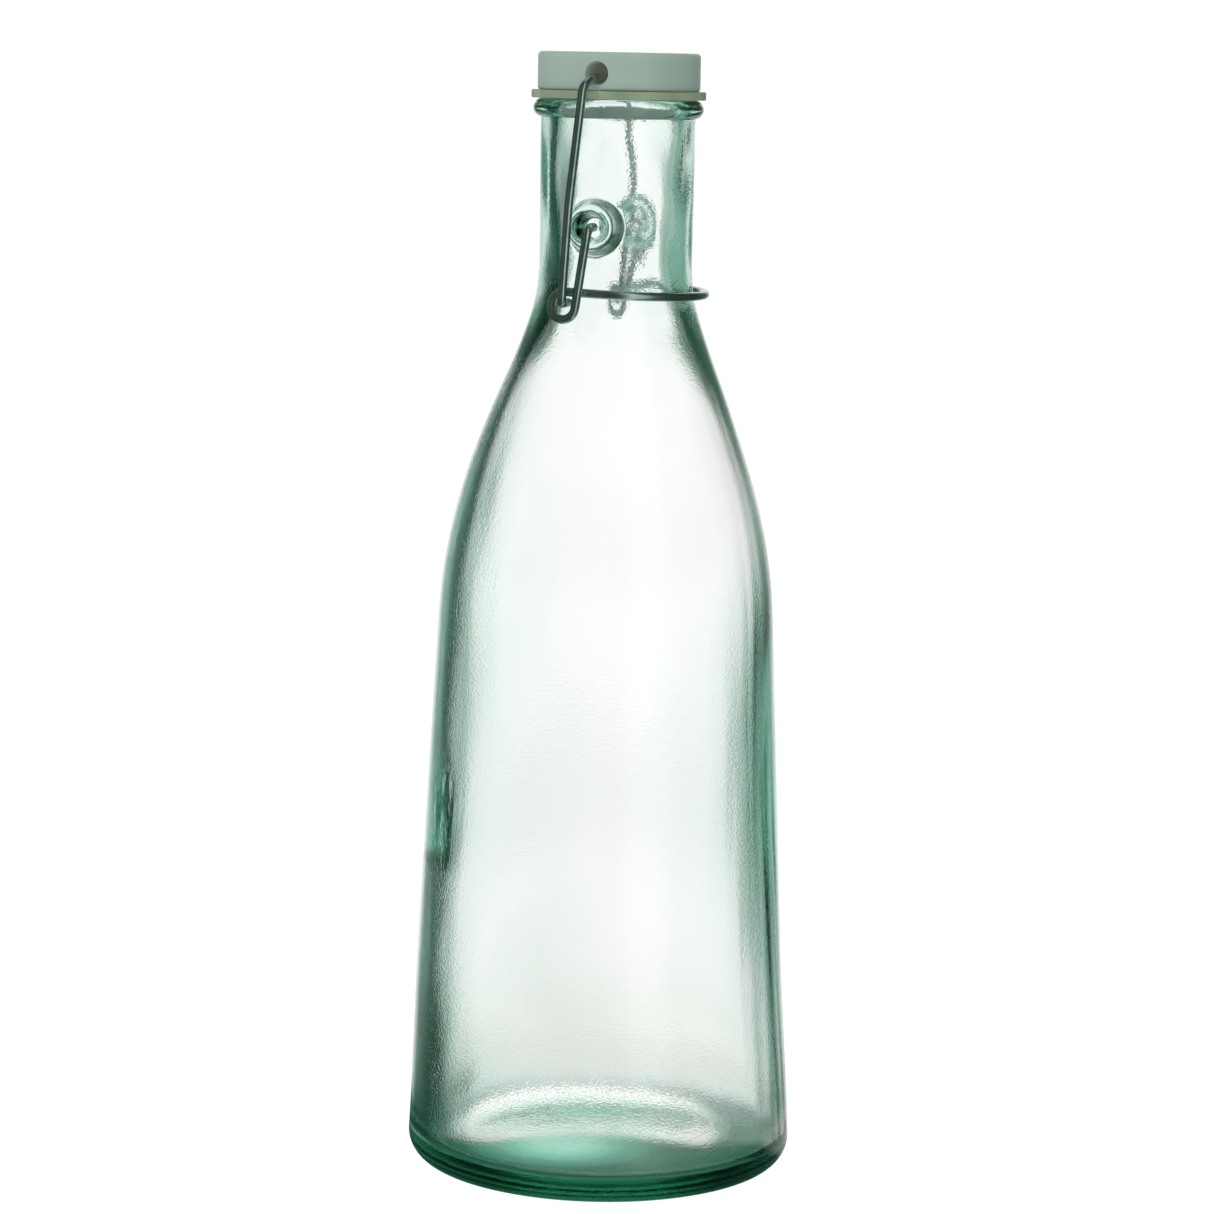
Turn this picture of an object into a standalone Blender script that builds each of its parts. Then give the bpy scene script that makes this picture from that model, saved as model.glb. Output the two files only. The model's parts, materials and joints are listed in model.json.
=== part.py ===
"""A one-litre swing-top growler: a pressed and blown glass bottle, closed by a plastic stopper that two bent
wires hold down.

Units are metres and +Z is up. The origin is the middle of the bottle's foot. The two glass bosses, which carry
the lever wire, lie on the Y axis, and the lever wire's thumb loop runs round the +X side of the neck. The
closure is modelled shut.

Five pieces: bottle, stopper_cap, gasket, bail_wire and lever_wire. The empties lever_pivot, bail_pivot and
stopper_pivot stand on the three hinge axes, which are all parallel to Y.
"""

import math

import bmesh
import bpy
from mathutils import Matrix, Vector

# ---------------------------------------------------------------- driving dimensions
GAP = 0.0003  # between pieces that touch

# Bottle
BODY_RADIUS = 0.0511  # the widest point, just above the heel
HEEL_ROUND = 0.0070
FOOT_WIDTH = 0.0060  # of the flat ring that it stands on
PUSH_UP = 0.0012  # height of the hollow under the base
BASE_THICKNESS = 0.0050
INSIDE_CORNER = 0.0035
WALL = 0.0034
NECK_WALL = 0.0045
WALL_GROWS_FROM = 0.2000  # height where the wall starts to thicken into the neck
WALL_GROWS_TO = 0.2350
NECK_RADIUS = 0.02005
RIM_HEIGHT = 0.2829
BEAD_ROUND = 0.00245  # of the half-round bead at the mouth
BEAD_INSET = 0.00025  # from the neck's radius in to the middle of that round
LIP_ROUND = 0.0011
# The shoulder's outline, from the body's straight taper up to the straight neck: radius, height
SHOULDER = (
    (0.04475, 0.1380),
    (0.04315, 0.1600),
    (0.03895, 0.1800),
    (0.0322, 0.2000),
    (0.0243, 0.2200),
    (0.0209, 0.2315),
    (NECK_RADIUS, 0.2430),
)

# Glass bosses and the sockets in them
PIVOT_HEIGHT = 0.2504
BOSS_FACE = 0.0246  # from the bottle's axis
BOSS_FACE_RADIUS = 0.0061
BOSS_ROOT_RADIUS = 0.0073
SOCKET_MOUTH_RADIUS = 0.0040
SOCKET_END_RADIUS = 0.0029
SOCKET_DEPTH = 0.0050

# Gasket: a flat rubber ring between the mouth and the stopper
GASKET_RADIUS = 0.02275
GASKET_HOLE_RADIUS = 0.0135
GASKET_THICKNESS = 0.0016
NOTCH_MIDDLE = -0.0015  # where the bail wire passes it, along X
NOTCH_WIDTH = 0.0056
NOTCH_DEPTH = 0.0016

# Stopper
CAP_RADIUS = 0.0212
CAP_TOP = 0.2950
CAP_EDGE_ROUND = 0.0012
CAP_FOOT_ROUND = 0.0008
SPIGOT_RADIUS = GASKET_HOLE_RADIUS - GAP
SPIGOT_LIP_RADIUS = 0.0146
SPIGOT_LIP_HEIGHT = 0.0028
BORE_RADIUS = 0.0029
BORE_HEIGHT = 0.2895
GROOVE_WIDTH = 0.0028
GROOVE_DEPTH = 0.0008

# Wires
WIRE_RADIUS = 0.00116
ARM_OUT = 0.0263  # the lever's arms, from the bottle's axis
HANDLE_OUT = 0.02365  # the lever's thumb loop, and its radius round the neck
BAIL_OUT = 0.0290  # the bail's sides at the eyes
EYE_CENTRE = Vector((-0.0065, 0, 0.2303))
EYE_RADIUS = 0.0035  # of the wire's centre line
HANDLE_DROP = 0.039  # fall of the thumb loop per unit of its reach
BEND_RADIUS = 0.0024

# Hinge axes, all parallel to Y
LEVER_PIVOT = Vector((0, 0, PIVOT_HEIGHT))
BAIL_PIVOT = Vector((-0.0059, 0, 0.2310))  # the bail's hook pulls up against the top of the eye
STOPPER_PIVOT = Vector((-0.0010, 0, 0.2884))  # and against the lower side of the stopper's bore

# How finely round shapes are faceted
BOTTLE_SIDES = 48
STOPPER_SIDES = 40
BOSS_SIDES = 24
WIRE_SIDES_SETTING = 2  # Blender's bevel_resolution

SEAT_HEIGHT = RIM_HEIGHT + GAP  # the gasket's lower face
SEAT = Vector((0, 0, SEAT_HEIGHT))
CAP_UNDERSIDE = SEAT_HEIGHT + GASKET_THICKNESS + GAP


# ---------------------------------------------------------------- scene and materials
def clear_scene():
    for obj in list(bpy.data.objects):
        bpy.data.objects.remove(obj)


def material(name, colour, roughness, metallic=0.0, transmission=0.0):
    made = bpy.data.materials.new(name)
    made.use_nodes = True
    shader = made.node_tree.nodes["Principled BSDF"]
    shader.inputs["Base Color"].default_value = (*colour, 1.0)
    shader.inputs["Roughness"].default_value = roughness
    shader.inputs["Metallic"].default_value = metallic
    shader.inputs["Transmission Weight"].default_value = transmission
    return made


def link(obj, parent=None, at=Vector((0, 0, 0))):
    """Adds obj to the scene with its origin at the world point at, under parent."""
    bpy.context.scene.collection.objects.link(obj)
    obj.parent = parent
    obj.location = at - (pivot_place(parent) if parent else Vector((0, 0, 0)))
    return obj


def pivot_place(empty):
    """The world place of an empty: its own location and those of the empties above it."""
    place = Vector(empty.location)
    return place + pivot_place(empty.parent) if empty.parent else place


def pivot(name, at, parent=None):
    return link(bpy.data.objects.new(name, None), parent, at)


def hide(cutter):
    cutter.hide_render = True
    cutter.display_type = "WIRE"
    return cutter


# ---------------------------------------------------------------- outlines and solids
def arc(centre, radius, start, end, steps):
    """Points on a circle in a radius-height plane, from start to end in degrees."""
    angles = [math.radians(start + (end - start) * i / steps) for i in range(steps + 1)]
    return [(centre[0] + radius * math.cos(a), centre[1] + radius * math.sin(a)) for a in angles]


def smooth(points, steps, first_slope, last_slope):
    """A Hermite curve through the points. Each slope is radius per height, and inner ones follow neighbours."""
    slopes = [
        (after[0] - before[0]) / (after[1] - before[1])
        for before, after in zip(points, points[2:])
    ]
    slopes = [first_slope, *slopes, last_slope]
    curve = [points[0]]
    for (r0, z0), (r1, z1), s0, s1 in zip(points, points[1:], slopes, slopes[1:]):
        rise = z1 - z0
        for i in range(1, steps + 1):
            t = i / steps
            r = (
                (2 * t**3 - 3 * t**2 + 1) * r0
                + (t**3 - 2 * t**2 + t) * rise * s0
                + (3 * t**2 - 2 * t**3) * r1
                + (t**3 - t**2) * rise * s1
            )
            curve.append((r, z0 + t * rise))
    return curve


def turned(name, outline, sides, finish, parent=None, at=Vector((0, 0, 0)), closed=False):
    """A turned solid about Z. The outline, in world radius and height, runs down its outer side."""
    mesh = bpy.data.meshes.new(name)
    points = [(r - at.x, 0, z - at.z) for r, z in outline]
    edges = [(i, i + 1) for i in range(len(points) - 1)]
    if closed:
        edges.append((len(points) - 1, 0))
    mesh.from_pydata(points, edges, [])
    mesh.materials.append(finish)
    obj = link(bpy.data.objects.new(name, mesh), parent, at)
    screw = obj.modifiers.new("turn", "SCREW")
    screw.angle = math.tau
    screw.steps = sides
    screw.render_steps = sides
    screw.use_merge_vertices = True
    screw.merge_threshold = 0.00001
    screw.use_smooth_shade = True
    return obj


def cone_along_y(name, sides, inner, outer):
    """A closed cone on Y at the pivot height: inner and outer are (radius, distance from the bottle's axis)."""
    mesh = bpy.data.meshes.new(name)
    shape = bmesh.new()
    length = outer[1] - inner[1]
    bmesh.ops.create_cone(
        shape, cap_ends=True, segments=sides, radius1=inner[0], radius2=outer[0], depth=length
    )
    turn = Matrix.Rotation(-math.pi / 2, 4, "X")
    middle = Matrix.Translation((0, (inner[1] + outer[1]) / 2, PIVOT_HEIGHT))
    bmesh.ops.transform(shape, matrix=middle @ turn, verts=shape.verts)
    shape.to_mesh(mesh)
    shape.free()
    return mesh


def box_mesh(name, low, high):
    mesh = bpy.data.meshes.new(name)
    shape = bmesh.new()
    bmesh.ops.create_cube(shape, size=1)
    size = Matrix.Diagonal((*(high - low), 1))
    bmesh.ops.transform(shape, matrix=Matrix.Translation((low + high) / 2) @ size, verts=shape.verts)
    shape.to_mesh(mesh)
    shape.free()
    return mesh


def combine(obj, other, operation):
    """Adds a Boolean modifier, with other as its hidden second solid."""
    step = obj.modifiers.new(other.name, "BOOLEAN")
    step.operation = operation
    step.object = hide(other)
    step.solver = "EXACT"


def on_both_sides(obj, name, mesh, operation):
    """The same Boolean at the -Y and +Y sides of the bottle."""
    for side, turn in (("front", math.pi), ("back", 0)):
        other = bpy.data.objects.new(f"{name}_{side}", mesh)
        link(other)
        other.rotation_euler.z = turn
        combine(obj, other, operation)


# ---------------------------------------------------------------- bottle
def body_outline():
    """The outer line of body, shoulder and neck, from the heel up to under the bead."""
    taper = (SHOULDER[0][0] - BODY_RADIUS) / (SHOULDER[0][1] - HEEL_ROUND)
    return smooth(SHOULDER, 4, taper, 0.0)


def wall_at(height):
    share = (height - WALL_GROWS_FROM) / (WALL_GROWS_TO - WALL_GROWS_FROM)
    return WALL + (NECK_WALL - WALL) * min(max(share, 0.0), 1.0)


def bottle_outline():
    """From the middle of the inside base, up the inner wall, over the lip and down the outside to the foot."""
    shoulder = body_outline()
    inner_foot = BODY_RADIUS - WALL - INSIDE_CORNER
    inside_base = PUSH_UP + BASE_THICKNESS
    inner_corner = arc((inner_foot, inside_base + INSIDE_CORNER), INSIDE_CORNER, -90, 0, 5)
    inner_wall = [(r - wall_at(z), z) for r, z in shoulder[::2]]
    mouth_radius = NECK_RADIUS - NECK_WALL
    lip = arc((mouth_radius + LIP_ROUND, RIM_HEIGHT - LIP_ROUND), LIP_ROUND, 180, 90, 3)
    bead_centre = (NECK_RADIUS - BEAD_INSET, RIM_HEIGHT - BEAD_ROUND)
    bead = arc(bead_centre, BEAD_ROUND, 90, -80, 8)
    heel = arc((BODY_RADIUS - HEEL_ROUND, HEEL_ROUND), HEEL_ROUND, 2.8, -90, 6)
    foot_inner = BODY_RADIUS - HEEL_ROUND - FOOT_WIDTH
    hollow = [
        (foot_inner * share, PUSH_UP * (1 - share**2)) for share in (1.0, 0.85, 0.65, 0.35, 0.0)
    ]
    return [(0.0, inside_base), *inner_corner, *inner_wall, *lip, *bead, *shoulder[::-1], *heel, *hollow]


def make_bottle(finish):
    bottle = turned("bottle", bottle_outline(), BOTTLE_SIDES, finish)
    root = NECK_RADIUS - NECK_WALL / 2
    boss = cone_along_y("boss", BOSS_SIDES, (BOSS_ROOT_RADIUS, root), (BOSS_FACE_RADIUS, BOSS_FACE))
    past_face = 0.0006
    spread = (SOCKET_MOUTH_RADIUS - SOCKET_END_RADIUS) / SOCKET_DEPTH
    socket = cone_along_y(
        "socket",
        BOSS_SIDES,
        (SOCKET_END_RADIUS, BOSS_FACE - SOCKET_DEPTH),
        (SOCKET_MOUTH_RADIUS + spread * past_face, BOSS_FACE + past_face),
    )
    on_both_sides(bottle, "boss", boss, "UNION")
    on_both_sides(bottle, "socket", socket, "DIFFERENCE")
    return bottle


# ---------------------------------------------------------------- stopper and gasket
def make_stopper(finish, holder):
    edge = (CAP_RADIUS - CAP_EDGE_ROUND, CAP_TOP - CAP_EDGE_ROUND)
    foot = (CAP_RADIUS - CAP_FOOT_ROUND, CAP_UNDERSIDE + CAP_FOOT_ROUND)
    lip_top = SEAT_HEIGHT - GAP
    lip_bottom = lip_top - SPIGOT_LIP_HEIGHT
    outline = [
        (0.0, CAP_TOP),
        *arc(edge, CAP_EDGE_ROUND, 90, 0, 4),
        *arc(foot, CAP_FOOT_ROUND, 0, -90, 3),
        (SPIGOT_RADIUS, CAP_UNDERSIDE),
        (SPIGOT_RADIUS, lip_top),
        (SPIGOT_LIP_RADIUS, lip_top),
        (SPIGOT_LIP_RADIUS - SPIGOT_LIP_HEIGHT / 2, lip_bottom),
        (0.0, lip_bottom),
    ]
    cap = turned("stopper_cap", outline, STOPPER_SIDES, finish, holder, SEAT)
    past = 0.002
    bore = bpy.data.meshes.new("bore")
    shape = bmesh.new()
    bmesh.ops.create_cone(
        shape,
        cap_ends=True,
        segments=BOSS_SIDES,
        radius1=BORE_RADIUS,
        radius2=BORE_RADIUS,
        depth=2 * (CAP_RADIUS + past),
    )
    place = Matrix.Translation((0, 0, BORE_HEIGHT)) @ Matrix.Rotation(math.pi / 2, 4, "X")
    bmesh.ops.transform(shape, matrix=place, verts=shape.verts)
    shape.to_mesh(bore)
    shape.free()
    combine(cap, link(bpy.data.objects.new("bore", bore)), "DIFFERENCE")
    half = GROOVE_WIDTH / 2
    groove = box_mesh(
        "groove",
        Vector((-half, CAP_RADIUS - GROOVE_DEPTH, CAP_UNDERSIDE - past)),
        Vector((half, CAP_RADIUS + past, BORE_HEIGHT)),
    )
    on_both_sides(cap, "groove", groove, "DIFFERENCE")
    return cap


def make_gasket(finish, holder):
    top = SEAT_HEIGHT + GASKET_THICKNESS
    outline = [
        (GASKET_RADIUS, top),
        (GASKET_RADIUS, SEAT_HEIGHT),
        (GASKET_HOLE_RADIUS, SEAT_HEIGHT),
        (GASKET_HOLE_RADIUS, top),
    ]
    gasket = turned("gasket", outline, STOPPER_SIDES, finish, holder, SEAT, closed=True)
    past = 0.002
    half = NOTCH_WIDTH / 2
    for side, turn in (("front", -1), ("back", 1)):
        reach = sorted((turn * (GASKET_RADIUS - NOTCH_DEPTH), turn * (GASKET_RADIUS + past)))
        low = Vector((NOTCH_MIDDLE - half, reach[0], SEAT_HEIGHT - past))
        high = Vector((NOTCH_MIDDLE + half, reach[1], top + past))
        notch = bpy.data.objects.new(f"notch_{side}", box_mesh("notch", low, high))
        combine(gasket, link(notch), "DIFFERENCE")
    return gasket


# ---------------------------------------------------------------- wires
def bend(before, corner, after, radius, steps=5):
    """Points that round the corner between two straight runs with an arc of that radius."""
    to_before = (before - corner).normalized()
    to_after = (after - corner).normalized()
    half = to_before.angle(to_after) / 2
    middle = corner + (to_before + to_after).normalized() * radius / math.sin(half)
    start = corner + to_before * radius / math.tan(half) - middle
    end = corner + to_after * radius / math.tan(half) - middle
    sweep = start.angle(end)
    axis = start.cross(end).normalized()
    return [middle + Matrix.Rotation(sweep * i / steps, 3, axis) @ start for i in range(steps + 1)]


def mirrored(half):
    """A whole wire from the half on the -Y side: the other half is its mirror image, joined in the middle."""
    other = [Vector((p.x, -p.y, p.z)) for p in reversed(half)]
    middle = 1 if (half[-1] - other[0]).length < GAP else 0
    return half + other[middle:]


def make_wire(name, points, finish, holder, at):
    curve = bpy.data.curves.new(name, "CURVE")
    curve.dimensions = "3D"
    curve.bevel_depth = WIRE_RADIUS
    curve.bevel_resolution = WIRE_SIDES_SETTING
    curve.use_fill_caps = True
    spline = curve.splines.new("POLY")
    spline.points.add(len(points) - 1)
    for slot, point in zip(spline.points, points):
        slot.co = (*(point - at), 1.0)
    curve.materials.append(finish)
    return link(bpy.data.objects.new(name, curve), holder, at)


def lever_line():
    """The lever wire's centre line on the -Y side: socket end, arm, eye, then the thumb loop to its middle."""
    end = Vector((0, -(BOSS_FACE - SOCKET_DEPTH + 0.0011), PIVOT_HEIGHT))
    elbow = Vector((0, -ARM_OUT, PIVOT_HEIGHT))
    eye = EYE_CENTRE
    # The arm touches the eye's circle from its right side, looking along +Y.
    reach = Vector((eye.x - elbow.x, eye.z - elbow.z))
    slant = math.asin(EYE_RADIUS / reach.length)
    heading = math.atan2(reach.y, reach.x) + slant
    touch_angle = heading + math.pi / 2
    touch = eye + EYE_RADIUS * Vector((math.cos(touch_angle), 0, math.sin(touch_angle)))
    touch.y = -ARM_OUT
    line = [end, *bend(end, elbow, touch, BEND_RADIUS)]
    # The eye: most of a turn down, round and back to its top, moving in towards the neck.
    turn = touch_angle - (math.pi / 2 - math.tau)
    steps = 16
    for i in range(steps + 1):
        share = i / steps
        angle = touch_angle - turn * share
        ease = share * share * (3 - 2 * share)
        out = ARM_OUT + (HANDLE_OUT - ARM_OUT) * ease
        line.append(eye + Vector((EYE_RADIUS * math.cos(angle), -out, EYE_RADIUS * math.sin(angle))))
    # The thumb loop: straight to beside the neck's axis, then a quarter turn round it.
    steps = 12
    for i in range(steps + 1):
        angle = math.pi / 2 * i / steps
        x = HANDLE_OUT * math.sin(angle)
        fall = HANDLE_DROP * (x - eye.x)
        line.append(Vector((x, -HANDLE_OUT * math.cos(angle), eye.z + EYE_RADIUS - fall)))
    return line


def bail_line():
    """The bail wire's centre line on the -Y side: hook, side, bend into the stopper's bore, to its middle."""
    hook_end = Vector((BAIL_PIVOT.x, -0.0222, BAIL_PIVOT.z))
    hook_corner = Vector((BAIL_PIVOT.x, -BAIL_OUT, BAIL_PIVOT.z))
    knee = Vector((-0.0044, -BAIL_OUT, 0.2560))
    shoulder = Vector((-0.0024, -0.0250, 0.2860))
    bore_mouth = Vector((STOPPER_PIVOT.x, -0.0212, STOPPER_PIVOT.z))
    middle = Vector((STOPPER_PIVOT.x, 0, STOPPER_PIVOT.z))
    return [
        hook_end,
        *bend(hook_end, hook_corner, knee, BEND_RADIUS),
        *bend(hook_corner, knee, shoulder, 0.03, 3),
        *bend(knee, shoulder, bore_mouth, 0.0030, 4),
        *bend(shoulder, bore_mouth, middle, BEND_RADIUS, 4),
        middle,
    ]


# ---------------------------------------------------------------- the object
def main():
    clear_scene()
    glass = material("glass", (0.62, 0.80, 0.74), 0.03, transmission=1.0)
    plastic = material("cap_plastic", (0.62, 0.68, 0.65), 0.4)
    rubber = material("gasket_rubber", (0.66, 0.64, 0.50), 0.6)
    steel = material("wire_steel", (0.50, 0.52, 0.51), 0.3, metallic=1.0)
    lever_pivot = pivot("lever_pivot", LEVER_PIVOT)
    bail_pivot = pivot("bail_pivot", BAIL_PIVOT, lever_pivot)
    stopper_pivot = pivot("stopper_pivot", STOPPER_PIVOT, bail_pivot)
    make_bottle(glass)
    make_stopper(plastic, stopper_pivot)
    make_gasket(rubber, stopper_pivot)
    make_wire("bail_wire", mirrored(bail_line()), steel, bail_pivot, BAIL_PIVOT)
    make_wire("lever_wire", mirrored(lever_line()), steel, lever_pivot, LEVER_PIVOT)


main()
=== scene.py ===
"""The looks of a one-litre swing-top growler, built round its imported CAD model.

The bottle, stopper, gasket and both wires are rebuilt here as finer meshes in the places that their CAD nodes
hold. The frame is in metres with +Z up: the bottle stands on the origin and the closure's hinges run along Y.
"""

import json
import math

import bmesh
import bpy
import numpy as np
from mathutils import Matrix, Vector, noise


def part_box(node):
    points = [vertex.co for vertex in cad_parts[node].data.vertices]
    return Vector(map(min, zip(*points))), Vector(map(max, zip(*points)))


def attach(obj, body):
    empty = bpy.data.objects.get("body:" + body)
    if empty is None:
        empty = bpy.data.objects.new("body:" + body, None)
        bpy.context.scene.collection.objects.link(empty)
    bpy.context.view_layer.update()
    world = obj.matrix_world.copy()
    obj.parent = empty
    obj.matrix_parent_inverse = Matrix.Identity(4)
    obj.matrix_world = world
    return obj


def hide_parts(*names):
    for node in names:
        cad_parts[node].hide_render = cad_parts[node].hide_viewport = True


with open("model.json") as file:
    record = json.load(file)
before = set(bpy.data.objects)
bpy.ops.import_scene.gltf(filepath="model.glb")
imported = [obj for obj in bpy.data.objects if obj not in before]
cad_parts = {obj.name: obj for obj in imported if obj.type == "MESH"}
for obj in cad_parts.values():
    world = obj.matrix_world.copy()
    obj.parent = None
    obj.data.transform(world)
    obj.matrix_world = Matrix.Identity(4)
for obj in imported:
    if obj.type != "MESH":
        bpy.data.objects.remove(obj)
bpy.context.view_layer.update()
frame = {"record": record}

# ---------------------------------------------------------------- sizes, in metres
MM = 0.001
BOTTLE_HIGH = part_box("bottle")[1]
CAP_LOW, CAP_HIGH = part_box("stopper_cap")
GASKET_LOW, GASKET_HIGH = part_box("gasket")
JOINTS = {joint["name"]: joint for joint in frame["record"]["behaviour"]["joints"]}
LEVER_PIVOT = Vector(JOINTS["lever_swing"]["pos_m"])
BAIL_PIVOT = Vector(JOINTS["bail_pivot"]["pos_m"])
STOPPER_PIVOT = Vector(JOINTS["stopper_pivot"]["pos_m"])

# Bottle
BODY_RADIUS = BOTTLE_HIGH[0]
RIM_HEIGHT = BOTTLE_HIGH[2]
HEEL_ROUND = 7.0 * MM
FOOT_WIDTH = 6 * MM
PUSH_UP = 1.2 * MM
BASE_THICKNESS = 5.0 * MM
INSIDE_CORNER = 3.5 * MM
WALL = 3.4 * MM
NECK_WALL = 4.5 * MM
NECK_RADIUS = 20.05 * MM
BEAD_ROUND = 2.45 * MM
BEAD_INSET = 0.25 * MM
LIP_ROUND = 1.1 * MM
# Radius and height
SHOULDER = (
    (44.75 * MM, 138 * MM),
    (43.15 * MM, 160 * MM),
    (38.95 * MM, 180 * MM),
    (32.2 * MM, 200 * MM),
    (24.3 * MM, 220 * MM),
    (20.9 * MM, 231.5 * MM),
    (NECK_RADIUS, 243 * MM),
)
BOTTLE_SIDES = 192
# Where the heel's and the bead's arcs end, in degrees: the wall's taper, and just short of straight down
HEEL_TOP_ANGLE = 2.8
BEAD_END_ANGLE = -80
# Heights between which the wall thickens to the neck's, the body's uneven glass ends, and the neck's begins
WALL_THICKENS = (0.200, 0.235)
BODY_ENDS = (0.17, 0.22)
NECK_BEGINS = (0.214, 0.232)
# The unevenness fades out over this height to the rim, and over this radius to the base's middle
FADE_TO_RIM = 8 * MM
FADE_TO_MIDDLE = 30 * MM
# The blown body sits slightly off the neck's axis, to one side, between these heights
BODY_SHIFT = -0.7 * MM
SHIFT_BEGINS = (0.01, 0.06)
SHIFT_ENDS = (0.185, 0.225)
# Where the mould filled unevenly. A patch is so many millimetres thicker than drawn, reaches so many degrees
# round the wall from its side, and has its middle's height and its reach up and down in metres.
RIGHT_THICK_PATCH = (1.8, 85, 0.095, 0.080)
RIGHT_THIN_PATCH = (-1.2, 85, 0.182, 0.050)
RIPPLE_PATCH = (0.16, 60, 0.014, 0.010)
RIPPLE_LENGTH = 0.0045
# The left wall is thicker all the way up, more so at its foot, and again in the neck
LEFT_THICKER = 1.1
LEFT_FOOT_THICKER = 1.2
LEFT_FOOT_HEIGHT = 0.055
LEFT_REACH = math.radians(100)
LEFT_NECK_THICKER = 0.9
LEFT_NECK_REACH = math.radians(80)
# Noise in the walls: millimetres, and how fast it changes round the wall and up it
STREAKS, STREAK_RATES = 0.22, (13, 7)
STREAK_REACH = math.radians(70)
WAVES, WAVE_RATES = 0.30, (1.6, 20)
FINE_WAVES, FINE_WAVE_RATES = 0.08, (5, 40)
NECK_WAVES, NECK_WAVE_RATES = 1.05, (1.8, 62)

# Bosses
BOSS_FACE = 24.6 * MM
BOSS_FACE_RADIUS = 6.1 * MM
BOSS_ROOT_RADIUS = 7.2 * MM
SOCKET_MOUTH_RADIUS = 4.0 * MM
SOCKET_END_RADIUS = 2.9 * MM
SOCKET_DEPTH = 5.0 * MM
BOSS_SIDES = 64
SOCKET_SIDES = 48

# Stopper and gasket
CAP_RADIUS = 21.2 * MM
CAP_TOP = CAP_HIGH[2]
GASKET_RADIUS = 22.75 * MM
GASKET_HOLE_RADIUS = 13.5 * MM
BORE_RADIUS = 2.9 * MM
BORE_HEIGHT = 289.5 * MM
NOTCH_MIDDLE = -1.5 * MM
NOTCH_WIDTH = 5.6 * MM
NOTCH_DEPTH = 1.6 * MM
CAP_UNDERSIDE = GASKET_HIGH[2] + 0.3 * MM
CAP_SIDES = 128
BORE_SIDES = 48
GROOVE_RADIUS = 1.5 * MM
GROOVE_SIDES = 24
GASKET_SIDES = 160

# Wires
WIRE_RADIUS = 1.16 * MM
ARM_OUT = 26.3 * MM
HANDLE_OUT = 23.65 * MM
BAIL_OUT = 29.0 * MM
EYE_CENTRE = Vector((-6.5 * MM, 0, 230.3 * MM))
EYE_RADIUS = 3.5 * MM
HANDLE_DROP = 0.039
BEND_RADIUS = 2.4 * MM
KNEE_RADIUS = 30 * MM
SHOULDER_BEND_RADIUS = 3 * MM
WIRE_SIDES = 20
WIRE_SPACING = 0.5 * MM
# A wire's domed end: shares of its radius, and how far each ring is moved inwards as a share of DOME_HEIGHT
DOME = ((0.35, 0.0), (0.7, 0.15), (0.92, 0.35))
DOME_HEIGHT = 0.6 * MM
# Texture coordinates for the wires' fine lines: per millimetre along, and per turn round
LINES_ALONG = 0.05
LINES_ROUND = 7

# Shading breaks at edges that are steeper than these, the second where a hole or a notch was cut
SHARP_ANGLE = math.radians(50)
CUT_SHARP_ANGLE = math.radians(35)

# ---------------------------------------------------------------- the camera
CAMERA_AZIMUTH = math.radians(16)
CAMERA_DISTANCE = 1.0233
CAMERA_HEIGHT = 0.295
CAMERA_PITCH = math.radians(8.103)
CAMERA_ROLL = math.radians(1.15)
CAMERA_LENS = 115.6
CAMERA_SENSOR = 36
CAMERA_CLIP = 0.01
CAMERA_SHIFT = -0.0013
VIEW_RIGHT = Vector((math.cos(CAMERA_AZIMUTH), math.sin(CAMERA_AZIMUTH), 0))
VIEW_LEFT_ANGLE = CAMERA_AZIMUTH + math.pi

# ---------------------------------------------------------------- light and colours
# The white that the camera sees behind the bottle and under it
WHITE_STRENGTH = 1.05

# The studio's walls: bearing in degrees from straight behind the bottle, clockwise from above, and colour.
# These are the ones that are seen through the glass.
GLASS_WALLS = (
    (-180, (1.15, 0.98, 1.02)),
    (-90, (1.15, 0.98, 1.02)),
    (-70, (0.95, 0.90, 0.90)),
    (-60, (0.015, 0.07, 0.045)),
    (-29, (0.015, 0.07, 0.045)),
    (-20, (0.55, 0.60, 0.56)),
    (-12, (1.38, 1.15, 1.20)),
    (12, (1.38, 1.15, 1.20)),
    (20, (0.55, 0.60, 0.56)),
    (28, (0.27, 0.40, 0.33)),
    (50, (0.31, 0.46, 0.39)),
    (70, (0.95, 0.90, 0.90)),
    (90, (1.15, 0.98, 1.02)),
    (180, (1.15, 0.98, 1.02)),
)
# Those walls are dimmed by how far one looks up or down: sine of the elevation, and colour
GLASS_HEIGHTS = (
    (-1, (1, 1, 1)),
    (0.03, (1, 1, 1)),
    (0.12, (0.08, 0.19, 0.13)),
    (0.38, (0.08, 0.19, 0.13)),
    (0.50, (1, 1, 1)),
    (1, (1, 1, 1)),
)
# The floor as the glass shows it. Middles are in metres to the right and away from the camera, and a table
# runs from a circle's rim, at 0, to its middle, at 1. A round patch of light lies behind, cut to an arc by a
# round shadow in front of it.
ARC_MIDDLE = (-0.004, 0.015)
ARC_RADIUS = 0.041
ARC = (
    (0.0, (0, 0, 0)),
    (0.05, (0.90, 0.84, 0.83)),
    (0.14, (2.2, 1.65, 1.72)),
    (0.5, (2.0, 1.60, 1.65)),
)
SHADOW_MIDDLE = (0.0, -0.028)
SHADOW_RADIUS = 0.039
SHADOW = (
    (0.0, (1, 1, 1)),
    (0.10, (0.55, 0.68, 0.62)),
    (0.24, (0, 0, 0)),
)
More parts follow.
